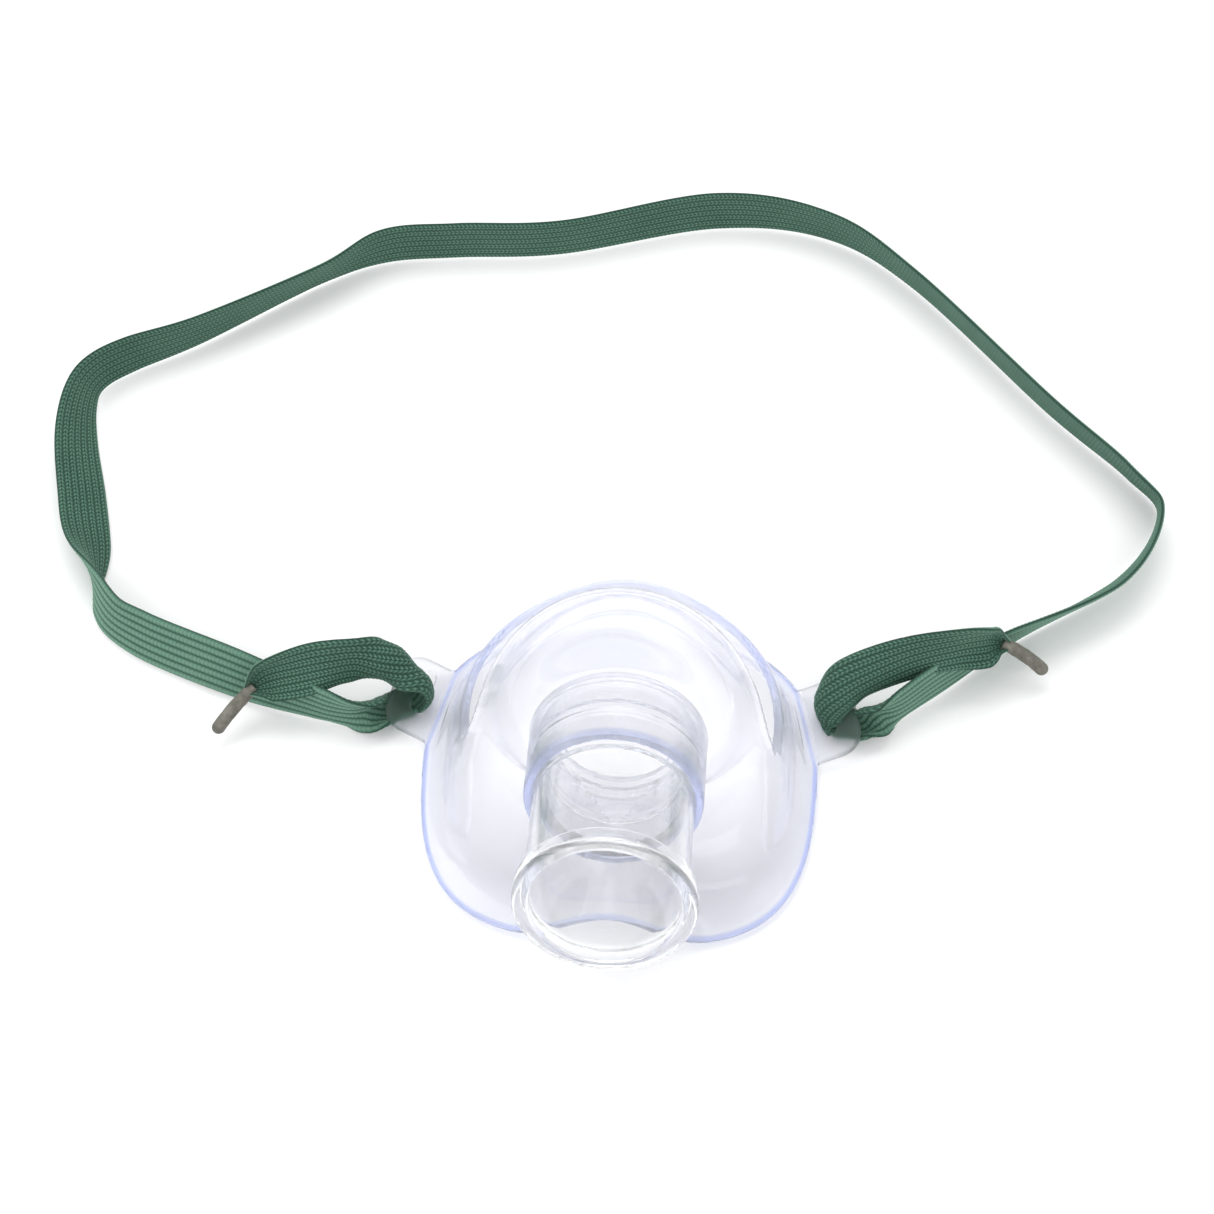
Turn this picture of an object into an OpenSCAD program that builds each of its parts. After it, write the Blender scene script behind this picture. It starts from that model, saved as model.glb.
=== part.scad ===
// Tracheostomy mask: soft clear dome with a swivel tubing connector and a
// flat elastic neck strap looped through two side tabs.
// The mask lies rim down on z = 0, the connector points to -Y and upward.

/* [Mask dome] */
// Overall width of the rim
rim_w = 56; // [50:1:62]
// Depth of the rim in front of its widest line
rim_front = 27; // [25:0.5:29]
// Depth of the rim behind its widest line
rim_back = 24.2; // [23:0.2:26]
// Wall thickness of the soft moulding
wall = 1.2; // [1:0.1:1.6]
// Height of the neck arch in the front of the rim
front_arch = 7; // [4:0.5:9]
// Height of the neck arch in the back of the rim
back_arch = 2.5; // [1:0.5:4]
// Height of the opening's lower end above the table
open_z = 10.2; // [8:0.2:12]

/* [Tube boss] */
// Outside diameter of the tube boss
boss_od = 24.4; // [24:0.1:25.4]
// Bore of the tube boss
boss_bore = 22; // [21.8:0.1:22.2]
// Length of the tube boss along its axis
boss_len = 12.4; // [10:0.2:14]
// Angle of the tube axis above the table
boss_tilt = 21; // [15:1:25]

/* [Tubing connector] */
// Running clearance of the connector in the boss, on the radius
swivel_gap = 0.05; // [0.03:0.01:0.08]
// Length of the connector in front of the boss
conn_out = 20.1; // [18:0.1:23]
// Bore of the connector's mouth
mouth_bore = 20.2; // [19.6:0.1:20.4]
// Diameter of the bead round the mouth
mouth_od = 24.6; // [23.6:0.1:25.6]

/* [Strap tabs] */
// How far the tab reaches from its root
tab_reach = 8.4; // [7.6:0.2:9]
// Length of the tab along the rim
tab_len = 11.8; // [10.6:0.2:12.4]
// Length of the strap slot
slot_len = 7; // [6.6:0.2:7.6]
// Width of the strap slot
slot_w = 2.1; // [1.9:0.1:2.4]

/* [Strap] */
// Width of the elastic strap
strap_w = 8; // [6:0.5:9]
// Thickness of the elastic strap
strap_t = 0.9; // [0.7:0.1:1]
// Diameter of the crimped metal ends
ferrule_d = 1.9; // [1.4:0.1:2]

/* [Hidden] */

clear_pvc = [0.86, 0.89, 0.97, 0.6];
rigid_clear = [0.93, 0.96, 1.0, 0.6];
strap_green = [0.20, 0.43, 0.31];
crimp_grey = [0.42, 0.41, 0.37];

fine = 96;                     // facets of the round shapes
mid_y = 7.5;                   // widest line of the rim
boss_c = [0, 2.9, 19];         // centre of the boss ring on the dome
boss_r = boss_od / 2;
bore_r = boss_bore / 2;
axis_out = [0, -cos(boss_tilt), sin(boss_tilt)];
face_up = [0, sin(boss_tilt), cos(boss_tilt)];
across = [1, 0, 0];

// ---- dome surface: one cubic B-spline meridian for every angle a ----
steps_a = 72;                  // meridians round the dome
steps_v = 22;                  // points along each meridian

function mix(p, q, t) = p + (q - p) * t;
function unit(v) = v / norm(v);
function bump(x, w) = 0.5 * (1 + cos(180 * min(1, abs(x) / w)));

// Radius of a superellipse with half axes p and q and exponent n
function oval(a, p, q, n) =
    pow(pow(abs(cos(a)) / p, n) + pow(abs(sin(a)) / q, n), -1 / n);

function rim_arch(x, front) = front ? front_arch * bump(x, 15) : back_arch * bump(x, 20);

// Control points of the meridian at angle a, from the rim to the boss ring
function controls(a) =
    let (s = sin(a), c = cos(a), front = s < 0, h = (1 + s) / 2,
         r_rim = oval(a, rim_w / 2, front ? rim_front : rim_back, mix(3.4, 1.95, h)),
         r_foot = oval(a, 24.6, front ? 18.6 : 23.6, mix(4, 1.9, h)),
         r_wall = oval(a, 22.9, front ? 14.5 : 23.2, mix(3, 1.8, h)),
         arch = rim_arch(r_rim * c, front),
         ring = across * c + face_up * s)
    [
        [r_rim * c, mid_y + r_rim * s, wall + arch],
        [mix(r_foot, r_rim, 0.2) * c, mid_y + mix(r_foot, r_rim, 0.2) * s, wall + 0.5 + 0.95 * arch],
        [r_foot * c, mid_y + r_foot * s, wall + 2 + 0.9 * arch],
        [r_wall * c, mid_y + r_wall * s, mix(9.5, 16, max(s, 0))],
        boss_c + across * c * 19.4 + face_up * s * mix(12, 24.2, h) - axis_out * mix(1, 9, h),
        boss_c + ring * mix(13.2, 20.2, h),
        boss_c + ring * (boss_r + 0.01)
    ];

// Point at t from 0 to 1 on the clamped uniform cubic B-spline
function spline(k, t) =
    let (p = concat([k[0], k[0]], k, [k[len(k) - 1], k[len(k) - 1]]),
         n = len(p) - 3, i = min(floor(t * n), n - 1), u = t * n - i)
    (p[i] * pow(1 - u, 3) + p[i + 1] * (3 * pow(u, 3) - 6 * pow(u, 2) + 4)
     + p[i + 2] * (-3 * pow(u, 3) + 3 * pow(u, 2) + 3 * u + 1) + p[i + 3] * pow(u, 3)) / 6;

// Outward normal of the dome, from neighbouring meridians and points
function dome_normal(a, t) =
    let (e = 0.01, t0 = max(0.004, t - e), t1 = min(1, t + e),
         along = spline(controls(a), t1) - spline(controls(a), t0),
         round_it = spline(controls(a + 0.5), (t0 + t1) / 2) - spline(controls(a - 0.5), (t0 + t1) / 2))
    unit(cross(round_it, along));

function dome_skin(depth) = [
    for (i = [0:steps_a - 1], j = [0:steps_v])
        let (a = 360 * (i + 0.5) / steps_a, t = j / steps_v)
            spline(controls(a), t) - (j == steps_v ? axis_out : dome_normal(a, t)) * depth];

module dome_shell() {
    row = steps_v + 1;
    total = steps_a * row;
    points = concat(dome_skin(0), dome_skin(wall));
    function at(i, j, inner) = (i % steps_a) * row + j + (inner ? total : 0);
    outer_faces = [for (i = [0:steps_a - 1], j = [0:steps_v - 1])
        [at(i, j, false), at(i, j + 1, false), at(i + 1, j + 1, false), at(i + 1, j, false)]];
    inner_faces = [for (i = [0:steps_a - 1], j = [0:steps_v - 1])
        [at(i, j, true), at(i + 1, j, true), at(i + 1, j + 1, true), at(i, j + 1, true)]];
    rim_faces = [for (i = [0:steps_a - 1])
        [at(i, 0, false), at(i + 1, 0, false), at(i + 1, 0, true), at(i, 0, true)]];
    ring_faces = [for (i = [0:steps_a - 1])
        [at(i, steps_v, false), at(i, steps_v, true), at(i + 1, steps_v, true), at(i + 1, steps_v, false)]];
    polyhedron(points, concat(outer_faces, inner_faces, rim_faces, ring_faces), convexity = 8);
}

// Side outline of the suction opening, cut straight across the dome
module opening_cutter() {
    far = 60;
    rotate([90, 0, 90])
        translate([0, 0, -far / 2])
            linear_extrude(far)
                polygon([[6.2, open_z + 0.3], [6.6, open_z], [far, open_z + 11.5],
                         [far, far], [26.8, far], [6.3, open_z + 1.2]]);
}

// Places its children with Z along the tube axis and the origin on the boss ring
module on_axis() {
    translate(boss_c) rotate([90 - boss_tilt, 0, 0]) children();
}

tab_c = [25.6, 14.9, 0];       // middle of the tab's root line, on the table
tab_turn = 15;                 // the root follows the rim
tab_lift = 21;                 // rise of the tab from its root
tab_t = 1.3;                   // thickness of the tab
tab_mid = [4, 1, 0];           // middle of the slot, along and across the tab

// Block that reaches outward from the tab's root plane
module tab_block() {
    translate(tab_c) rotate([0, 0, tab_turn])
        translate([0, -tab_len / 2, -1]) cube([20, tab_len, 12]);
}

module mask_dome() {
    color(clear_pvc)
        difference() {
            dome_shell();
            opening_cutter();
            tab_block();
            mirror([1, 0, 0]) tab_block();
        }
}

lip_r = 8.6;                   // hole in the stop lip at the bottom of the boss
lip_t = 1.2;
groove_z = 5;                  // start of the snap groove inside the boss
groove_l = 1.8;
groove_deep = 0.45;

module tube_boss() {
    color(clear_pvc)
        on_axis()
            rotate_extrude($fn = fine)
                polygon([[lip_r, -lip_t], [boss_r, -lip_t], [boss_r, boss_len],
                         [bore_r, boss_len],
                         [bore_r, groove_z + groove_l], [bore_r + groove_deep, groove_z + groove_l],
                         [bore_r + groove_deep, groove_z], [bore_r, groove_z],
                         [bore_r, 0], [lip_r, 0]]);
}

// Outline of the tab, rounded at its free end
module tab_outline() {
    round_r = 3.4;
    translate([-1, -tab_len / 2]) square([tab_reach + 1 - round_r, tab_len]);
    translate([0, round_r - tab_len / 2]) square([tab_reach, tab_len - 2 * round_r]);
    for (side = [-1, 1])
        translate([tab_reach - round_r, side * (tab_len / 2 - round_r)])
            circle(r = round_r, $fn = 48);
}

module strap_tab() {
    color(clear_pvc)
        intersection() {
            tab_block();
            translate(tab_c) rotate([0, -tab_lift, tab_turn])
                difference() {
                    linear_extrude(tab_t) tab_outline();
                    translate(tab_mid + [-slot_w / 2, -slot_len / 2, -1])
                        cube([slot_w, slot_len, 4]);
                }
        }
}

module left_strap_tab() { mirror([1, 0, 0]) strap_tab(); }
module right_strap_tab() { strap_tab(); }

module tubing_connector() {
    body_r = bore_r - swivel_gap;
    inner_z = 0.15;            // inner end, just off the stop lip
    end_z = boss_len + conn_out;
    step_z = boss_len + 0.6;
    bead_z = end_z - 3;
    color(rigid_clear)
        on_axis()
            rotate_extrude($fn = fine)
                polygon([[9.2, inner_z], [body_r, inner_z],
                         [body_r, groove_z + 0.15], [body_r + groove_deep - 0.05, groove_z + 0.15],
                         [body_r + groove_deep - 0.05, groove_z + groove_l - 0.15],
                         [body_r, groove_z + groove_l - 0.15],
                         [body_r, bead_z], [mouth_od / 2, bead_z + 0.5],
                         [mouth_od / 2, end_z - 0.5], [mouth_od / 2 - 0.5, end_z],
                         [mouth_bore / 2 + 0.3, end_z], [mouth_bore / 2, end_z - 0.3],
                         [mouth_bore / 2, step_z], [9.2, step_z - 0.9]]);
}

// ---- strap: a flat band swept along its route ----
// x, y, z of the centre line, then the heading and rise of the band's width
// direction in degrees, then the share of the full width
route = [
    [-52.8, 14.0, 5.4, 82, 44, 0.5],
    [-46.0, 16.5, 7.4, 86, 55, 0.9],
    [-38.0, 18.5, 8.0, 88, 62, 0.95],
    [-31.6, 18.9, 7.6, 320, 66, 0.75],
    [-28.9, 17.5, 4.8, 268, 40, 0.5],
    [-28.7, 16.8, 2.0, 258, 5, 0.4],
    [-30.2, 16.0, 1.0, 290, 0, 0.36],
    [-32.4, 14.4, 1.3, 300, 0, 0.4],
    [-35.2, 12.8, 2.2, 300, 6, 0.5],
    [-38.0, 12.0, 4.2, 290, 85, 1],
    [-44.6, 13.5, 4.2, 82, 78, 1],
    [-56.0, 17.4, 3.8, 72, 57, 1],
    [-70.0, 22.7, 3.8, 44, 57, 1],
    [-76.0, 27.4, 4.0, 350, 64, 1],
    [-79.6, 38.4, 2.9, 212, 38, 1],
    [-83.4, 55.0, 3.1, 196, 45, 1],
    [-82.2, 64.6, 4.0, 176, 70, 1],
    [-77.0, 69.0, 4.2, 150, 80, 1],
    [-66.8, 74.1, 4.3, 262, 87, 1],
    [-50.0, 84.9, 4.2, 264, 73, 1],
    [-41.0, 90.7, 4.2, 120, 86, 1],
    [-18.0, 93.0, 4.3, 90, 86, 1],
    [9.0, 100.0, 4.3, 100, 82, 1],
    [26.0, 98.4, 4.3, 300, 85, 1],
    [39.4, 89.6, 4.2, 262, 76, 1],
    [59.7, 69.0, 4.2, 262, 75, 1],
    [71.4, 58.3, 4.2, 258, 72, 1],
    [76.0, 51.2, 4.2, 262, 64, 1],
    [70.2, 39.8, 4.2, 262, 56, 1],
    [54.8, 29.8, 4.2, 240, 66, 1],
    [45.4, 23.2, 4.3, 140, 80, 1],
    [37.6, 16.8, 4.3, 170, 84, 1],
    [35.6, 15.5, 2.5, 240, 12, 0.5],
    [32.8, 15.4, 1.5, 245, 0, 0.4],
    [30.4, 16.2, 1.0, 250, 0, 0.36],
    [28.7, 16.8, 2.0, 275, 5, 0.4],
    [28.9, 17.5, 4.8, 272, 40, 0.5],
    [31.6, 19.2, 7.4, 220, 66, 0.75],
    [40.0, 23.6, 8.0, 100, 60, 1],
    [53.4, 26.8, 7.2, 100, 46, 0.5]
];

rings_per_step = 2;

// Value at u from 0 to 1 between b and c on a Catmull-Rom curve
function curve(a, b, c, d, u) =
    (2 * b + (c - a) * u + (2 * a - 5 * b + 4 * c - d) * u * u
     + (3 * b - 3 * c + d - a) * u * u * u) / 2;

function place(r) = [r[0], r[1], r[2]];
function width_dir(r) = [cos(r[4]) * cos(r[3]), cos(r[4]) * sin(r[3]), sin(r[4])];
function clamp_at(list, i) = list[max(0, min(len(list) - 1, i))];

places = [for (r = route) place(r)];
widths = [for (r = route) width_dir(r) * r[5]];

function sample(list, s) =
    let (i = min(floor(s), len(list) - 2), u = s - i)
    curve(clamp_at(list, i - 1), list[i], list[i + 1], clamp_at(list, i + 2), u);

// One section of the band: a flat rectangle with its corners taken off
function band_ring(s) =
    let (last = len(route) - 1,
         t = unit(sample(places, min(last, s + 0.05)) - sample(places, max(0, s - 0.05))),
         raw = sample(widths, s),
         w = unit(raw - t * (raw * t)),
         n = cross(t, w),
         half = strap_w / 2 * norm(raw),
         thin = strap_t / 2,
         c = sample(places, s))
    [for (p = [[1, 0.4], [0.94, 1], [-0.94, 1], [-1, 0.4], [-1, -0.4], [-0.94, -1], [0.94, -1], [1, -0.4]])
        c + w * half * p[0] + n * thin * p[1]];

module head_strap() {
    count = (len(route) - 1) * rings_per_step;
    points = [for (k = [0:count]) each band_ring(k / rings_per_step)];
    sides = [for (k = [0:count - 1], q = [0:7])
        [k * 8 + q, k * 8 + (q + 1) % 8, k * 8 + 8 + (q + 1) % 8, k * 8 + 8 + q]];
    start = [[for (q = [7:-1:0]) q]];
    finish = [[for (q = [0:7]) count * 8 + q]];
    color(strap_green) polyhedron(points, concat(sides, start, finish), convexity = 12);
}

// Crimp rod with round ends that dips along an arc, as rings of a swept circle
crimp_l = 7.6;                 // length along the arc
crimp_r = 14;                  // radius of the arc
crimp_sides = 12;
crimp_rings = 16;

// Share of the full radius at fraction f of the length, rounded at both ends
function crimp_taper(f) =
    let (edge = min(f, 1 - f) * crimp_l, r = ferrule_d / 2)
    edge >= r ? 1 : sqrt(max(0.02, 1 - pow(1 - edge / r, 2)));

module ferrule(start, heading, dive) {
    turn = crimp_l / crimp_r * 180 / PI;
    points = [for (k = [0:crimp_rings], q = [0:crimp_sides - 1])
        let (f = (1 - cos(180 * k / crimp_rings)) / 2,
             slope = dive + turn * f, spin = 360 * q / crimp_sides,
             r = ferrule_d / 2 * crimp_taper(f),
             x = crimp_r * (sin(slope) - sin(dive)), z = crimp_r * (cos(slope) - cos(dive)))
        [x + r * cos(spin) * sin(slope), r * sin(spin), z + r * cos(spin) * cos(slope)]];
    sides = [for (k = [0:crimp_rings - 1], q = [0:crimp_sides - 1])
        let (a = k * crimp_sides + q, b = k * crimp_sides + (q + 1) % crimp_sides)
        [a, b, b + crimp_sides, a + crimp_sides]];
    start_cap = [[for (q = [crimp_sides - 1:-1:0]) q]];
    end_cap = [[for (q = [0:crimp_sides - 1]) crimp_rings * crimp_sides + q]];
    color(crimp_grey)
        translate(start) rotate([0, 0, heading])
            polyhedron(points, concat(sides, start_cap, end_cap), convexity = 4);
}

module left_ferrule() { ferrule([-53.1, 13.6, 5.4], 230, 5); }
module right_ferrule() { ferrule([53.7, 26.9, 7.2], 338, 5); }

mask_dome();
tube_boss();
left_strap_tab();
right_strap_tab();
tubing_connector();
head_strap();
left_ferrule();
right_ferrule();
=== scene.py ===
"""Tracheostomy mask: soft clear moulding, rigid swivel connector, knitted strap with crimped ends."""
import math

import bmesh
import bpy
import numpy as np
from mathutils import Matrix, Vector


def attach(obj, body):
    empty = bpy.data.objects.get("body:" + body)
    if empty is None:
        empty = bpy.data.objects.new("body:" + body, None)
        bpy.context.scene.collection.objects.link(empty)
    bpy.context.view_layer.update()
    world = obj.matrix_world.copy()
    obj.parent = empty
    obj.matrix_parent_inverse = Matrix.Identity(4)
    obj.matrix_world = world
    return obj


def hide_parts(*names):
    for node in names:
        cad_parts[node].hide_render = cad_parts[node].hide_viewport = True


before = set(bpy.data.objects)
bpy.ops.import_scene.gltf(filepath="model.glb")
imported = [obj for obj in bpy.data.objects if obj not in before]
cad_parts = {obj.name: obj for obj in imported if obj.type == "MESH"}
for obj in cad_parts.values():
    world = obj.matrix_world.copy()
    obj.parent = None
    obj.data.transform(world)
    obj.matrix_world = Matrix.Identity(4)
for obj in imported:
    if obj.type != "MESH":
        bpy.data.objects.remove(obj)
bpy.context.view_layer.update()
MM = 0.001
scene = bpy.context.scene


# ---------------------------------------------------------------- camera
CAMERA_AZIMUTH = 3.6        # degrees from +Y
CAMERA_ELEVATION = 62.0
CAMERA_DISTANCE = 0.560
CAMERA_LENS = 114.6
CAMERA_TARGET = Vector((-0.0035, 0.0332, 0.0))

az, el = math.radians(CAMERA_AZIMUTH), math.radians(CAMERA_ELEVATION)
camera_data = bpy.data.cameras.new("camera")
camera_data.lens = CAMERA_LENS
camera_data.sensor_width = 36.0
camera = bpy.data.objects.new("camera", camera_data)
scene.collection.objects.link(camera)
camera.location = CAMERA_TARGET + CAMERA_DISTANCE * Vector(
    (math.cos(el) * math.sin(az), -math.cos(el) * math.cos(az), math.sin(el)))
camera.rotation_euler = (CAMERA_TARGET - camera.location).to_track_quat("-Z", "Y").to_euler()
scene.camera = camera
scene.view_settings.view_transform = "Standard"
scene.cycles.max_bounces = 28
scene.cycles.transmission_bounces = 28
scene.cycles.glossy_bounces = 8
scene.cycles.transparent_max_bounces = 48


# ---------------------------------------------------------------- helpers
def add_mesh(name, points, faces):
    mesh = bpy.data.meshes.new(name)
    mesh.from_pydata([tuple(p) for p in points], [], [tuple(f) for f in faces])
    mesh.update()
    mesh.shade_smooth()
    piece = bpy.data.objects.new(name, mesh)
    scene.collection.objects.link(piece)
    return piece


def set_material(piece, material):
    piece.data.materials.clear()
    piece.data.materials.append(material)


def apply_modifiers(piece):
    depsgraph = bpy.context.evaluated_depsgraph_get()
    mesh = bpy.data.meshes.new_from_object(piece.evaluated_get(depsgraph))
    piece.modifiers.clear()
    old = piece.data
    piece.data = mesh
    bpy.data.meshes.remove(old)


def join(pieces, name):
    """One mesh that holds every piece; the pieces themselves go."""
    points, faces = [], []
    for piece in pieces:
        base = len(points)
        points += [tuple(v.co) for v in piece.data.vertices]
        faces += [[base + i for i in p.vertices] for p in piece.data.polygons]
        bpy.data.objects.remove(piece)
    return add_mesh(name, points, faces)


def cut(piece, cutter):
    step = piece.modifiers.new("cut", "BOOLEAN")
    step.operation = "DIFFERENCE"
    step.solver = "EXACT"
    step.object = cutter
    apply_modifiers(piece)
    bpy.data.objects.remove(cutter)


def catmull(rows, s):
    """Rows of numbers interpolated at each s; whole numbers of s are the rows themselves."""
    last = len(rows) - 1
    i = np.minimum(np.floor(s).astype(int), last - 1)
    u = (s - i)[:, None]
    a, b, c, d = (rows[np.clip(i + k, 0, last)] for k in (-1, 0, 1, 2))
    return (2 * b + (c - a) * u + (2 * a - 5 * b + 4 * c - d) * u ** 2
            + (3 * b - 3 * c + d - a) * u ** 3) / 2


def unit(v):
    return v / np.linalg.norm(v, axis=-1, keepdims=True)


def grid_faces(rows, columns, wrap_rows=False):
    """Quads between rings of points, and back to the first ring where the rows wrap."""
    i, j = np.meshgrid(np.arange(rows if wrap_rows else rows - 1), np.arange(columns), indexing="ij")
    i2, j2 = (i + 1) % rows, (j + 1) % columns
    corners = [i * columns + j, i * columns + j2, i2 * columns + j2, i2 * columns + j]
    return np.stack(corners, -1).reshape(-1, 4)


# ---------------------------------------------------------------- materials
class Nodes:
    """Short forms for building a node tree."""

    def __init__(self, name):
        self.material = bpy.data.materials.new(name)
        self.material.use_nodes = True
        self.tree = self.material.node_tree
        self.tree.nodes.clear()
        self.output = self.add("ShaderNodeOutputMaterial")

    def add(self, kind, **settings):
        node = self.tree.nodes.new(kind)
        for key, value in settings.items():
            setattr(node, key, value)
        return node

    def link(self, source, target):
        if isinstance(source, (int, float, tuple)):
            target.default_value = source
        else:
            self.tree.links.new(source, target)

    def math(self, operation, a, b=0.0):
        node = self.add("ShaderNodeMath", operation=operation)
        self.link(a, node.inputs[0])
        self.link(b, node.inputs[1])
        return node.outputs[0]

    def noise(self, scale, detail=3.0, vector=None, roughness=0.5):
        node = self.add("ShaderNodeTexNoise")
        node.inputs["Scale"].default_value = scale
        node.inputs["Detail"].default_value = detail
        node.inputs["Roughness"].default_value = roughness
        if vector is not None:
            self.link(vector, node.inputs["Vector"])
        return node.outputs["Fac"]

    def ramp(self, value, stops):
        node = self.add("ShaderNodeValToRGB")
        elements = node.color_ramp.elements
        while len(elements) < len(stops):
            elements.new(0.5)
        for element, (at, colour) in zip(elements, stops):
            element.position = at
            element.color = (*colour, 1.0)
        self.link(value, node.inputs[0])
        return node.outputs[0]

    def between(self, value, low, high):
        node = self.add("ShaderNodeMapRange")
        node.inputs["To Min"].default_value = low
        node.inputs["To Max"].default_value = high
        self.link(value, node.inputs["Value"])
        return node.outputs[0]

    def bump(self, height, strength, distance, normal=None):
        node = self.add("ShaderNodeBump")
        node.inputs["Strength"].default_value = strength
        node.inputs["Distance"].default_value = distance
        self.link(height, node.inputs["Height"])
        if normal is not None:
            self.link(normal, node.inputs["Normal"])
        return node.outputs[0]


def clear_plastic(name, tint, density, rough_low, rough_high, ripple, ior, alpha, frost=0.0):
    """Clear plastic: a colour that deepens with the thickness, faint moulding ripples and smears.

    With frost, the frost attribute roughens the surface, and the edge attribute paints blue into the
    colour at the rim, boss end and tab roots: a painted tint for the blue that light gains running a long
    way through the sheet at its edges.
    """
    n = Nodes(name)
    place = n.add("ShaderNodeTexCoord").outputs["Object"]
    shader = n.add("ShaderNodeBsdfPrincipled")
    shader.inputs["Base Color"].default_value = (1.0, 1.0, 1.0, 1.0)
    shader.inputs["Alpha"].default_value = alpha
    shader.inputs["Transmission Weight"].default_value = 1.0
    shader.inputs["IOR"].default_value = ior
    smear = n.noise(170.0, 4.0, place)
    rough = n.between(smear, rough_low, rough_high)
    if frost:
        # Painted tint: blue painted into the colour at the rim, boss end and tab roots. It stands in for
        # the long path light takes through the sheet's edge and is not the plastic's own colour.
        edge = n.add("ShaderNodeAttribute", attribute_name="edge").outputs["Fac"]
        n.link(n.ramp(edge, [(0.0, (0.978, 0.978, 0.990)), (1.0, (0.50, 0.58, 0.95))]),
               shader.inputs["Base Color"])
        matt = n.add("ShaderNodeAttribute", attribute_name="frost").outputs["Fac"]
        rough = n.math("ADD", rough, n.math("MULTIPLY", matt, frost))
    n.link(rough, shader.inputs["Roughness"])
    swell = n.bump(n.noise(95.0, 2.0, place), 0.35, ripple)
    n.link(n.bump(n.noise(900.0, 2.0, place), 0.15, ripple * 0.12, swell), shader.inputs["Normal"])
    volume = n.add("ShaderNodeVolumeAbsorption")
    volume.inputs["Color"].default_value = (*tint, 1.0)
    volume.inputs["Density"].default_value = density
    n.link(shader.outputs[0], n.output.inputs["Surface"])
    n.link(volume.outputs[0], n.output.inputs["Volume"])
    return n.material


def crimp_metal():
    """Dull, tarnished crimp sleeve with brushed streaks and stains."""
    n = Nodes("crimp_metal")
    place = n.add("ShaderNodeTexCoord").outputs["Object"]
    stain = n.noise(700.0, 6.0, place, 0.65)
    grain = n.noise(5200.0, 3.0, place)
    shader = n.add("ShaderNodeBsdfPrincipled")
    colour = n.ramp(stain, [(0.30, (0.085, 0.082, 0.066)), (0.52, (0.150, 0.145, 0.120)),
                            (0.72, (0.225, 0.215, 0.182))])
    n.link(colour, shader.inputs["Base Color"])
    shader.inputs["Metallic"].default_value = 0.35
    n.link(n.between(stain, 0.48, 0.72), shader.inputs["Roughness"])
    n.link(n.bump(grain, 0.4, 0.00005, n.bump(stain, 0.5, 0.00012)), shader.inputs["Normal"])
    n.link(shader.outputs[0], n.output.inputs["Surface"])
    return n.material


RIBS = 7                    # raised cords across the strap
STITCH = 0.62               # length of one stitch along the strap, in mm


def knitted_elastic():
    """Knitted strap: the stitch height is baked into the mesh as an attribute and painted into the colour,
    dark in the hollows as painted shade and light on the raised stitches as painted highlight; fibres come
    from noise.
    """
    n = Nodes("elastic_strap")
    stitch_relief_shade = n.add("ShaderNodeAttribute", attribute_name="stitch_relief_shade").outputs["Fac"]
    place = n.add("ShaderNodeTexCoord").outputs["Object"]
    fibre = n.noise(5200.0, 3.0, place, 0.6)
    patch = n.noise(140.0, 3.0, place)
    # Painted shade in the knit's hollows and painted highlight on its raised stitches, from the stitch
    # height, plus random yarn tone from the fibre and patch noise.
    knit_shade_and_tone = n.math("ADD", n.math("MULTIPLY", stitch_relief_shade, 0.78),
                   n.math("ADD", n.math("MULTIPLY", fibre, 0.26), n.math("MULTIPLY", patch, 0.14)))
    # Dark stops are painted shade in the grooves, light stops painted highlight on the ribs.
    colour = n.ramp(knit_shade_and_tone, [(0.20, (0.003, 0.014, 0.010)), (0.42, (0.018, 0.058, 0.039)),
                            (0.62, (0.050, 0.128, 0.088)), (0.90, (0.128, 0.245, 0.180))])
    shader = n.add("ShaderNodeBsdfPrincipled")
    n.link(colour, shader.inputs["Base Color"])
    shader.inputs["Roughness"].default_value = 0.78
    shader.inputs["Sheen Weight"].default_value = 0.22
    shader.inputs["Sheen Roughness"].default_value = 0.5
    shader.inputs["Sheen Tint"].default_value = (0.55, 0.85, 0.68, 1.0)
    shader.inputs["Specular IOR Level"].default_value = 0.3
    n.link(n.bump(fibre, 0.55, 0.00008), shader.inputs["Normal"])
    n.link(shader.outputs[0], n.output.inputs["Surface"])
    return n.material


soft_pvc = clear_plastic("soft_pvc", (0.55, 0.62, 0.96), 45.0, 0.04, 0.10, 0.00012, 1.40, 0.72, frost=0.40)
rigid_clear = clear_plastic("rigid_clear", (0.82, 0.88, 0.97), 14.0, 0.012, 0.04, 0.00005, 1.50, 0.88)
elastic_strap = knitted_elastic()
crimp = crimp_metal()


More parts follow.
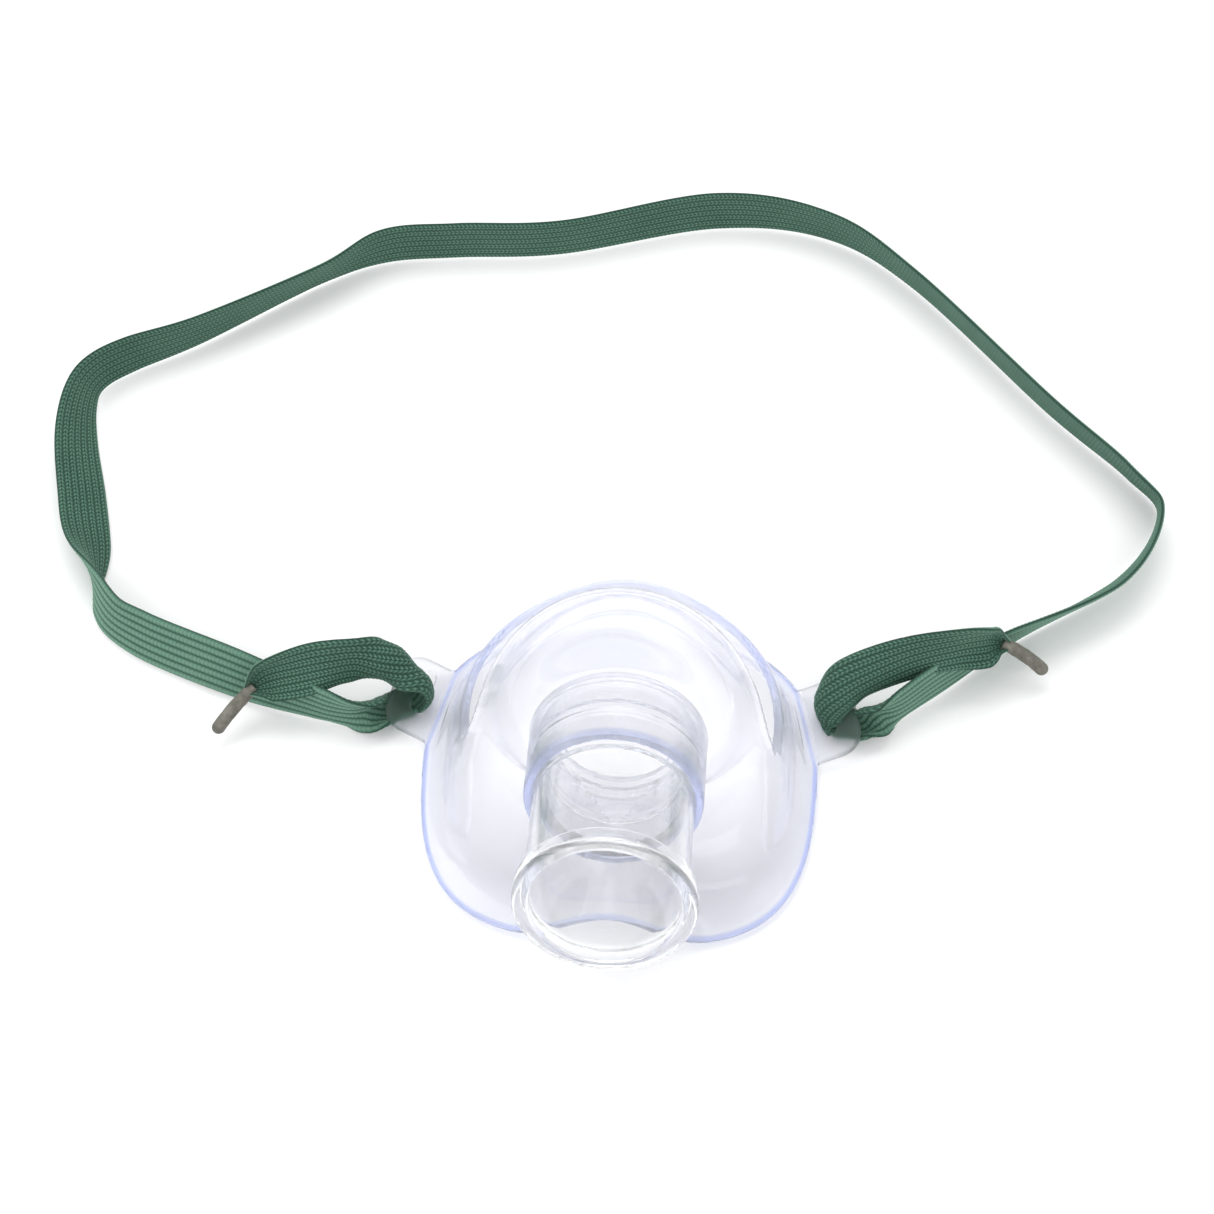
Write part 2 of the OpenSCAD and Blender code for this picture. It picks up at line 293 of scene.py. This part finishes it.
# The visible band in millimetres: centre, heading and rise of its width direction, and how
# much of its width is gathered into a curl, hollow on the stitched side or, below 0, the ribbed one.
BAND = np.array([
    (-53.1, 13.8, 5.5, 82, 44, 0.70), (-50.6, 14.6, 7.4, 84, 52, 0.30),
    (-46.0, 15.3, 9.3, 86, 54, 0.04), (-42.0, 16.1, 10.4, 88, 60, 0.0),
    (-38.0, 17.2, 10.1, 92, 68, 0.0), (-34.8, 17.5, 9.0, 112, 60, -0.24),
    (-32.0, 17.5, 7.7, 134, 44, -0.42), (-29.8, 17.2, 5.8, 148, 22, -0.50),
    (-29.0, 16.8, 3.8, 150, 6, -0.54), (-29.2, 16.4, 2.2, 145, 0, -0.54),
    (-30.0, 15.8, 1.0, 135, 0, -0.52), (-31.6, 14.8, 1.1, 127, 0, -0.54),
    (-33.4, 13.7, 1.8, 118, 8, -0.60), (-34.8, 12.9, 2.7, 112, 46, -0.56),
    (-36.2, 12.3, 3.6, 104, 78, -0.30), (-38.4, 12.0, 4.1, 94, 88, -0.04),
    (-41.6, 12.6, 4.2, 86, 84, 0.0), (-44.6, 13.5, 4.2, 82, 78, 0.0), (-56.0, 17.4, 3.8, 72, 57, 0.0),
    (-70.0, 22.7, 3.8, 44, 57, 0.0), (-76.0, 27.4, 4.0, 350, 64, 0.0), (-79.6, 38.4, 2.9, 212, 38, 0.0),
    (-81.4, 46.0, 2.7, 200, 34, 0.0), (-83.2, 54.6, 3.1, 196, 44, 0.0),
    (-83.4, 61.2, 3.7, 190, 60, 0.0), (-81.8, 65.4, 4.1, 170, 74, 0.0),
    (-77.0, 69.0, 4.2, 150, 80, 0.0), (-66.8, 74.1, 4.3, 262, 87, 0.0),
    (-50.0, 84.9, 4.2, 264, 73, 0.0), (-41.0, 90.5, 4.2, 120, 85, 0.0), (-30.0, 92.2, 4.3, 90, 84, 0.0),
    (-14.0, 93.8, 4.3, 92, 85, 0.0), (9.0, 100.0, 4.3, 100, 82, 0.0), (26.0, 98.4, 4.3, 300, 85, 0.0),
    (39.4, 89.6, 4.2, 262, 76, 0.0), (59.7, 69.0, 4.2, 262, 75, 0.0), (71.4, 58.3, 4.2, 258, 72, 0.0),
    (76.0, 51.2, 4.2, 262, 64, 0.0), (70.2, 39.8, 4.2, 262, 56, 0.0), (54.8, 29.8, 4.2, 240, 66, 0.0),
    (45.4, 23.2, 4.3, 140, 82, 0.0), (39.2, 18.0, 4.3, 124, 84, 0.0), (36.6, 16.4, 3.9, 118, 80, -0.20),
    (35.0, 15.8, 3.0, 108, 50, -0.52), (33.6, 15.4, 1.8, 100, 10, -0.56),
    (31.2, 15.7, 1.1, 100, 0, -0.50), (29.4, 16.2, 1.1, 108, 0, -0.46),
    (28.7, 16.8, 2.4, 118, 4, -0.44), (28.6, 17.2, 4.0, 122, 14, -0.38),
    (29.9, 18.0, 6.2, 120, 34, -0.26), (33.0, 19.7, 8.2, 112, 56, -0.10),
    (40.0, 22.6, 9.7, 102, 66, 0.0), (46.6, 24.4, 10.2, 100, 70, 0.03),
    (50.6, 25.6, 9.3, 100, 62, 0.20), (52.4, 26.5, 8.2, 100, 50, 0.50),
    (53.8, 26.8, 7.3, 100, 46, 0.70),
], dtype=float)
BAND_WIDTH = 8.0
BAND_THICK = 0.9
ALONG_STEP = 0.155          # mm between rings
ACROSS = 57                 # points across each face


def stitch_height(across, along, herringbone):
    """Height from 0 to 1 of the knit; across runs over the ribs and along in millimetres."""
    column = across * RIBS
    side = column - np.floor(column) - 0.5
    rib = np.cos(side * math.pi) ** 0.8
    lean = np.abs(side) * (1.5 if herringbone else 0.7)
    wave = 0.5 + 0.5 * np.cos(2 * math.pi * (along / STITCH + lean + 0.5 * (np.floor(column) % 2)))
    if herringbone:
        # The dip between ribs, which the strap colour also paints as a dark line of shade.
        seam = 1 - 0.75 * np.exp(-(side / 0.075) ** 2)
        return (0.22 + 0.78 * rib) * (0.30 + 0.70 * wave) * seam
    return (0.30 + 0.70 * rib) * (0.76 + 0.24 * wave)


def curl_angle(share):
    """Half the opening angle of an arc whose chord is this share of its length."""
    angles = np.linspace(1e-4, 2.9, 600)
    return np.interp(-share, -np.sin(angles) / angles, angles)


def build_strap():
    w_dir = np.stack([np.cos(np.radians(BAND[:, 4])) * np.cos(np.radians(BAND[:, 3])),
                      np.cos(np.radians(BAND[:, 4])) * np.sin(np.radians(BAND[:, 3])),
                      np.sin(np.radians(BAND[:, 4]))], 1)
    fine = np.linspace(0, len(BAND) - 1, 6001)
    line = catmull(BAND[:, :3], fine)
    length = np.concatenate([[0], np.cumsum(np.linalg.norm(np.diff(line, axis=0), axis=1))])
    rings = int(length[-1] / ALONG_STEP)
    along = np.linspace(0, length[-1], rings)
    s = np.interp(along, length, fine)
    centre = catmull(BAND[:, :3], s)
    tangent = unit(catmull(BAND[:, :3], np.minimum(s + 0.03, fine[-1]))
                   - catmull(BAND[:, :3], np.maximum(s - 0.03, 0)))
    raw = catmull(w_dir, s)
    width = unit(raw - tangent * np.sum(raw * tangent, 1, keepdims=True))
    normal = np.cross(tangent, width)

    # Section of the middle surface: an arc whose opening follows the gathering
    across = np.linspace(0, 1, ACROSS)
    curl = catmull(np.sign(BAND[:, 5:6]) * curl_angle(1 - np.abs(BAND[:, 5:6])), s)
    curl = np.where(np.abs(curl) < 0.02, 0.02, curl)
    radius = BAND_WIDTH / 2 / curl
    angle = (across[None, :] * 2 - 1) * curl
    side, lift = radius * np.sin(angle), radius * (1 - np.cos(angle))
    lift = lift - lift.mean(1, keepdims=True)
    pinch = np.interp(along, [0, 3.2, length[-1] - 3.2, length[-1]], [0.42, 1, 1, 0.42])[:, None]
    side, lift = side * pinch, lift * pinch
    out_side, out_lift = -np.sin(angle), np.cos(angle)
    rim = np.sqrt(np.clip(1 - np.abs(across * 2 - 1) ** 9, 0.02, 1))[None, :]
    v = along[:, None] + 0 * across[None, :]
    u = across[None, :] + 0 * along[:, None]
    height_a = stitch_height(u, v, True)
    height_b = stitch_height(u, v, False)
    thin = BAND_THICK / 2 * rim * np.where(pinch < 1, 0.45 + 0.55 * pinch, 1)
    up_a = thin * (0.66 + 0.34 * height_a)
    up_b = thin * (0.62 + 0.38 * height_b)

    def surface(up):
        return (centre[:, None, :] + width[:, None, :] * (side + out_side * up)[..., None]
                + normal[:, None, :] * (lift + out_lift * up)[..., None])

    face_a, face_b = surface(up_a), surface(-up_b)[:, ::-1]
    points = np.concatenate([face_a, face_b], 1)
    points[..., 2] = np.maximum(points[..., 2], 0.05)
    heights = np.concatenate([height_a, height_b[:, ::-1]], 1)
    columns = points.shape[1]
    faces = [tuple(f) for f in grid_faces(rings, columns)[:, ::-1]]
    faces.append(tuple(range(columns)))
    faces.append(tuple(reversed(range((rings - 1) * columns, rings * columns))))
    strap = add_mesh("strap_band", points.reshape(-1, 3) * MM, faces)
    # The stitch height, which the strap material paints as shade in the hollows and highlight on the
    # raised stitches.
    attribute = strap.data.attributes.new("stitch_relief_shade", "FLOAT", "POINT")
    attribute.data.foreach_set("value", heights.reshape(-1).astype(np.float32))
    set_material(strap, elastic_strap)
    return strap, length[-1] * MM


strap, strap_length = build_strap()
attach(strap, "mask")
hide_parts("head_strap")


# ---------------------------------------------------------------- crimped ends
def build_crimp(name, start, heading, dive, node):
    """Rolled metal sleeve with an overlapping seam, a flared mouth and a pinched round tip."""
    length, bend, radius = 8.4, 14.0, 0.98
    rings, sides = 120, 48
    f = np.linspace(0, 1, rings)
    slope = math.radians(dive) + f * length / bend
    x = bend * (np.sin(slope) - math.sin(math.radians(dive)))
    z = bend * (np.cos(slope) - math.cos(math.radians(dive)))
    from_tip = (1 - f) * length
    round_tip = np.sqrt(np.clip(1 - (1 - from_tip / radius) ** 2, 0.004, 1))
    size = radius * np.where(from_tip < radius, round_tip, 1)
    size = size * (1 + 0.10 * np.exp(-(f * length / 0.35) ** 2))
    for at, depth in ((1.5, 0.055), (3.0, 0.04), (5.4, 0.03)):
        size = size * (1 - depth * np.exp(-((f * length - at) / 0.38) ** 2))
    spin = np.linspace(0, 2 * math.pi, sides, endpoint=False)
    seam = 1 - 0.07 * np.exp(-((spin - 1.2) / 0.09) ** 2) + 0.02 * np.cos(2 * spin)
    r = size[:, None] * seam[None, :]
    local = np.stack([x[:, None] + r * np.cos(spin) * np.sin(slope)[:, None], r * np.sin(spin),
                      z[:, None] + r * np.cos(spin) * np.cos(slope)[:, None]], -1)
    turn = math.radians(heading)
    c, s = math.cos(turn), math.sin(turn)
    place = local @ np.array([[c, s, 0], [-s, c, 0], [0, 0, 1]]) + np.array(start)
    faces = [tuple(q) for q in grid_faces(rings, sides)[:, ::-1]]
    faces.append(tuple(range(sides)))
    faces.append(tuple(reversed(range((rings - 1) * sides, rings * sides))))
    piece = add_mesh(name, place.reshape(-1, 3) * MM, faces)
    set_material(piece, crimp)
    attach(piece, "mask")
    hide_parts(node)
    return piece


left_crimp = build_crimp("left_crimp", (-52.6, 14.2, 5.4), 230, 3, "left_ferrule")
right_crimp = build_crimp("right_crimp", (53.2, 27.1, 7.3), 344, 18, "right_ferrule")


# ---------------------------------------------------------------- soft moulding
WALL = 1.2
MID_Y = 7.5
OPEN_Z = 10.2
BOSS_R, BORE_R, BOSS_LEN, TILT = 12.2, 11.0, 12.4, 21.0
BOSS_C = np.array([0.0, 2.9, 19.0])
AXIS = np.array([0.0, -math.cos(math.radians(TILT)), math.sin(math.radians(TILT))])
FACE_UP = np.array([0.0, math.sin(math.radians(TILT)), math.cos(math.radians(TILT))])
ACROSS_X = np.array([1.0, 0.0, 0.0])


def mix(p, q, t):
    return p + (q - p) * t


def oval(a, p, q, n):
    return (np.abs(np.cos(a) / p) ** n + np.abs(np.sin(a) / q) ** n) ** (-1 / n)


def hump(x, w):
    return 0.5 * (1 + np.cos(np.pi * np.minimum(1, np.abs(x) / w)))


def rim_radius(a):
    return oval(a, 28.0, np.where(np.sin(a) < 0, 27.0, 24.2), mix(3.4, 1.95, (1 + np.sin(a)) / 2))


def dome_controls(a):
    """Seven control points of each meridian, from the rim to the tube boss."""
    s, c = np.sin(a), np.cos(a)
    front = s < 0
    h = (1 + s) / 2
    r_rim = rim_radius(a)
    r_foot = oval(a, 24.6, np.where(front, 18.6, 23.6), mix(4.0, 1.9, h))
    r_wall = oval(a, 22.9, np.where(front, 14.5, 23.2), mix(3.0, 1.8, h))
    arch = np.where(front, 7.0 * hump(r_rim * c, 15), 2.5 * hump(r_rim * c, 20))
    r_flange = mix(r_foot, r_rim, 0.2)

    def flat(r, z):
        return np.stack([r * c, MID_Y + r * s, z + 0 * a], -1)

    ring = ACROSS_X * c[:, None] + FACE_UP * s[:, None]
    rows = [
        flat(r_rim, WALL + arch),
        flat(r_flange, WALL + 0.5 + 0.95 * arch),
        flat(r_foot, WALL + 2 + 0.9 * arch),
        flat(r_wall, mix(9.5, 16.0, np.maximum(s, 0))),
        BOSS_C + ACROSS_X * (c * 19.4)[:, None] + FACE_UP * (s * mix(12.0, 24.2, h))[:, None]
        - AXIS * mix(1.0, 9.0, h)[:, None],
        BOSS_C + ring * mix(13.2, 20.2, h)[:, None],
        BOSS_C + ring * (BOSS_R - 0.25),
    ]
    return np.stack([rows[0], rows[0], *rows, rows[-1], rows[-1]])


def dome_point(controls, t):
    n = len(controls) - 3
    i = min(int(t * n), n - 1)
    u = t * n - i
    p = controls
    return (p[i] * (1 - u) ** 3 + p[i + 1] * (3 * u ** 3 - 6 * u ** 2 + 4)
            + p[i + 2] * (-3 * u ** 3 + 3 * u ** 2 + 3 * u + 1) + p[i + 3] * u ** 3) / 6


def build_dome(meridians=240, steps=90):
    a = (np.arange(meridians) + 0.5) / meridians * 2 * math.pi
    here, left, right = dome_controls(a), dome_controls(a - 0.005), dome_controls(a + 0.005)
    outer, inner = [], []
    for j in range(steps + 1):
        t = j / steps
        t0, t1 = max(0.004, t - 0.01), min(1.0, t + 0.01)
        point = dome_point(here, t)
        normal = unit(np.cross(dome_point(right, (t0 + t1) / 2) - dome_point(left, (t0 + t1) / 2),
                               dome_point(here, t1) - dome_point(here, t0)))
        outer.append(point)
        inner.append(point - normal * WALL)
    rows = outer + inner[::-1]
    points = np.stack(rows)
    faces = grid_faces(len(rows), meridians, wrap_rows=True)
    return add_mesh("dome", points.reshape(-1, 3) * MM, faces[:, ::-1])


def lathe(name, profile, sides):
    """Turns a closed profile of (radius, distance along the tube axis)."""
    profile = np.array(profile, dtype=float)
    spin = np.linspace(0, 2 * math.pi, sides, endpoint=False)
    ring = ACROSS_X[None, :] * np.cos(spin)[:, None] + FACE_UP[None, :] * np.sin(spin)[:, None]
    points = BOSS_C + profile[:, 0, None, None] * ring[None] + profile[:, 1, None, None] * AXIS
    return add_mesh(name, points.reshape(-1, 3) * MM, grid_faces(len(profile), sides, wrap_rows=True))


def extruded(name, outline, low, high, place):
    """A prism of a flat outline, put in place by a function."""
    n = len(outline)
    points = [place((x, y, low)) for x, y in outline] + [place((x, y, high)) for x, y in outline]
    faces = [tuple(reversed(range(n))), tuple(range(n, 2 * n))]
    faces += [(i, (i + 1) % n, n + (i + 1) % n, n + i) for i in range(n)]
    return add_mesh(name, np.array(points) * MM, faces)


TAB_ROOT = np.array([25.6, 14.9, 0.0])
TAB_TURN, TAB_LIFT, TAB_T = math.radians(15), math.radians(21), 1.3
TAB_REACH, TAB_LEN = 8.4, 11.8


def tab_place(side, lowest):
    """Puts a point of the flat tab in place: lifted, turned, on one side, and not below a height."""
    ct, st, cl, sl = math.cos(TAB_TURN), math.sin(TAB_TURN), math.cos(TAB_LIFT), math.sin(TAB_LIFT)

    def place(p):
        x, y, z = p
        out, up = x * cl - z * sl, x * sl + z * cl
        return (side * (TAB_ROOT[0] + out * ct - y * st), TAB_ROOT[1] + out * st + y * ct, max(lowest, up))
    return place


def build_tab(side):
    """Strap tab with round corners and a slot with round ends."""
    r, half = 3.4, TAB_LEN / 2
    outline = [(-0.7, -half - 0.3), (0.4, -half)]
    for centre_y, start in ((-half + r, -90), (half - r, 0)):
        outline += [(TAB_REACH - r + r * math.cos(math.radians(start + k * 6)),
                     centre_y + r * math.sin(math.radians(start + k * 6))) for k in range(16)]
    outline += [(0.4, half), (-0.7, half + 0.3)]
    tab = extruded("tab", outline, 0.0, TAB_T, tab_place(side, 0.02))
    slot = []
    for y, first in ((4.5 - 0.9, 0), (-2.5 + 0.9, 180)):
        slot += [(4 + 1.05 * math.cos(math.radians(first + k * 15)),
                  y + 0.9 * math.sin(math.radians(first + k * 15))) for k in range(13)]
    cutter = extruded("slot", slot, -3.0, 4.0, tab_place(side, -20.0))
    for piece in (tab, cutter):
        turn_out(piece)
    cut(tab, cutter)
    return tab


def turn_out(piece):
    mesh = bmesh.new()
    mesh.from_mesh(piece.data)
    bmesh.ops.recalc_face_normals(mesh, faces=mesh.faces)
    mesh.to_mesh(piece.data)
    mesh.free()


def sprue_mark():
    """Small round witness mark of the moulding gate on top of the boss."""
    mesh = bpy.data.meshes.new("gate")
    ball = bmesh.new()
    bmesh.ops.create_uvsphere(ball, u_segments=24, v_segments=12, radius=0.55 * MM)
    place = BOSS_C + AXIS * 5.4 + FACE_UP * (BOSS_R - 0.1)
    bmesh.ops.translate(ball, verts=ball.verts, vec=Vector(place * MM))
    ball.to_mesh(mesh)
    ball.free()
    gate = bpy.data.objects.new("gate", mesh)
    scene.collection.objects.link(gate)
    return gate


def mark_moulding(moulding):
    """Writes where the skin is frosted and where blue is painted at its edges, a painted tint for the long
    path light takes through the sheet there, from 0 to 1.
    """
    points = np.empty(len(moulding.data.vertices) * 3)
    moulding.data.vertices.foreach_get("co", points)
    points = points.reshape(-1, 3) / MM
    x, y, z = np.abs(points[:, 0]), points[:, 1], points[:, 2]
    out = (x - TAB_ROOT[0]) * math.cos(TAB_TURN) + (y - TAB_ROOT[1]) * math.sin(TAB_TURN)
    beside = np.abs((y - TAB_ROOT[1]) * math.cos(TAB_TURN) - (x - TAB_ROOT[0]) * math.sin(TAB_TURN))
    on_tab = np.clip((out - 0.6) / 0.8, 0, 1) * (z < 6)
    tab_root = np.clip(1 - np.abs(out - 0.3) / 0.4, 0, 1) * (beside < TAB_LEN / 2 + 0.3) * (z < 3)

    from_boss = points - BOSS_C
    depth = from_boss @ AXIS
    around = np.linalg.norm(from_boss - depth[:, None] * AXIS, axis=1)
    on_boss = (depth > 1.5) * (around < BOSS_R + 0.3) * (around > BORE_R - 0.6)
    boss_end = np.clip((depth - BOSS_LEN + 1.5) / 0.3, 0, 1) * (around < BOSS_R + 0.3)

    turn = np.arctan2(y - MID_Y, points[:, 0])
    inset = rim_radius(turn) - np.hypot(points[:, 0], y - MID_Y)
    rim = np.clip((0.9 - inset) / 0.3, 0, 1) * (out < 0.4)

    # The painted edge blue: rim, boss end and tab roots, a painted tint for light running a long way
    # through the sheet edge.
    marks = {"frost": np.maximum(on_tab, BOSS_FROST * on_boss),
             "edge": np.maximum(np.maximum(rim, BOSS_PAINTED_BLUE * boss_end), tab_root)}
    for name, value in marks.items():
        attribute = moulding.data.attributes.new(name, "FLOAT", "POINT")
        attribute.data.foreach_set("value", value.astype(np.float32))


VOXEL = 0.22                # grid of the one skin, in mm
SMOOTH_PASSES = 12
# Boss frost strength, and strength of the painted edge blue at the boss end.
BOSS_FROST, BOSS_PAINTED_BLUE = 0.35, 0.8
LIP_R = 8.6                 # stop lip at the inner end of the boss
GROOVE_LOW, GROOVE_HIGH, GROOVE_DEPTH = 5.0, 6.8, 0.45


def build_moulding():
    dome = build_dome()
    turn_out(dome)
    opening = [(6.2, OPEN_Z + 0.3), (6.6, OPEN_Z), (60, OPEN_Z + 11.5), (60, 60), (26.8, 60),
               (6.3, OPEN_Z + 1.2)]
    window = extruded("window", opening, -30, 30, lambda p: (p[2], p[0], p[1]))
    turn_out(window)
    cut(dome, window)
    groove_r = BORE_R + GROOVE_DEPTH
    boss = lathe("boss", [(LIP_R, -1.2), (BOSS_R, -1.2), (BOSS_R, BOSS_LEN), (BORE_R, BOSS_LEN),
                          (BORE_R, GROOVE_HIGH), (groove_r, GROOVE_HIGH), (groove_r, GROOVE_LOW),
                          (BORE_R, GROOVE_LOW), (BORE_R, 0.0), (LIP_R, 0.0)], 200)
    turn_out(boss)
    gate = sprue_mark()
    moulding = join([dome, boss, gate, build_tab(1), build_tab(-1)], "soft_moulding")
    remesh = moulding.modifiers.new("remesh", "REMESH")
    remesh.mode = "VOXEL"
    remesh.voxel_size = VOXEL * MM
    remesh.use_smooth_shade = True
    soften = moulding.modifiers.new("soften", "SMOOTH")
    soften.factor = 0.5
    soften.iterations = SMOOTH_PASSES
    apply_modifiers(moulding)
    moulding.data.shade_smooth()
    mark_moulding(moulding)
    set_material(moulding, soft_pvc)
    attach(moulding, "mask")
    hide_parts("mask_dome", "tube_boss", "left_strap_tab", "right_strap_tab")


build_moulding()


# ---------------------------------------------------------------- swivel connector
def rounded(profile, radius, steps=5):
    """The closed profile with its corners rounded, and points that keep the flats between them flat."""
    points = []
    count = len(profile)
    for i in range(count):
        p, q, r = (Vector(profile[k % count]) for k in (i - 1, i, i + 1))
        reach = min(radius, (p - q).length * 0.45, (r - q).length * 0.45)
        a, b = q + (p - q).normalized() * reach, q + (r - q).normalized() * reach
        for k in range(steps + 1):
            t = k / steps
            points.append(tuple(a * (1 - t) ** 2 + q * 2 * t * (1 - t) + b * t ** 2))
        straight = (r - q).length - 2 * reach
        ahead = (r - q).normalized()
        points += [tuple(b + ahead * straight * share) for share in (0.04, 0.5, 0.96) if straight > 0.3]
    return points


CONNECTOR_LEN = 20.1        # how far it stands out of the boss
MOUTH_BEAD_R, MOUTH_BORE_R = 12.3, 10.1
SPIGOT_BORE_R = 9.2
SNAP_BEAD = 0.35            # height of the bead that sits in the boss's groove


def build_connector():
    body_r, end_z = BORE_R - 0.05, BOSS_LEN + CONNECTOR_LEN
    snap_r = body_r + SNAP_BEAD
    profile = [(SPIGOT_BORE_R, 0.15), (body_r, 0.15), (body_r, 5.15), (snap_r, 5.35), (snap_r, 6.45),
               (body_r, 6.65), (body_r, end_z - 3), (MOUTH_BEAD_R, end_z - 2.5),
               (MOUTH_BEAD_R, end_z - 0.45), (MOUTH_BEAD_R - 0.5, end_z), (MOUTH_BORE_R + 0.25, end_z),
               (MOUTH_BORE_R, end_z - 0.3), (MOUTH_BORE_R, BOSS_LEN + 0.6),
               (SPIGOT_BORE_R, BOSS_LEN - 0.3)]
    connector = lathe("swivel_connector", rounded(profile, 0.35), 256)
    turn_out(connector)
    set_material(connector, rigid_clear)
    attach(connector, "connector")
    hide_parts("tubing_connector")


build_connector()


# ---------------------------------------------------------------- floor and light
def pale_floor():
    n = Nodes("floor")
    shader = n.add("ShaderNodeBsdfPrincipled")
    shader.inputs["Base Color"].default_value = (0.95, 0.95, 0.955, 1.0)
    shader.inputs["Roughness"].default_value = 0.9
    shader.inputs["Specular IOR Level"].default_value = 0.1
    n.link(shader.outputs[0], n.output.inputs["Surface"])
    return n.material


floor = add_mesh("floor", [(-3, -3, 0), (3, -3, 0), (3, 3, 0), (-3, 3, 0)], [(0, 1, 2, 3)])
floor.location.z = -0.0004
set_material(floor, pale_floor())

world = bpy.data.worlds.new("studio")
world.use_nodes = True
world.node_tree.nodes["Background"].inputs["Color"].default_value = (1.0, 1.0, 1.0, 1.0)
world.node_tree.nodes["Background"].inputs["Strength"].default_value = 1.01
scene.world = world


def soft_light(name, place, target, size, power):
    data = bpy.data.lights.new(name, "AREA")
    data.shape = "RECTANGLE"
    data.size, data.size_y = size
    data.energy = power
    light = bpy.data.objects.new(name, data)
    scene.collection.objects.link(light)
    light.location = place
    light.rotation_euler = (Vector(target) - Vector(place)).to_track_quat("-Z", "Y").to_euler()


soft_light("overhead", (-0.1, 0.40, 0.90), (0, 0.03, 0), (0.8, 0.45), 3.2)
soft_light("left", (-0.75, -0.1, 0.55), (0, 0.03, 0), (0.35, 0.7), 1.6)
soft_light("front", (0.35, -0.7, 0.5), (0, 0.03, 0), (0.5, 0.4), 1.0)
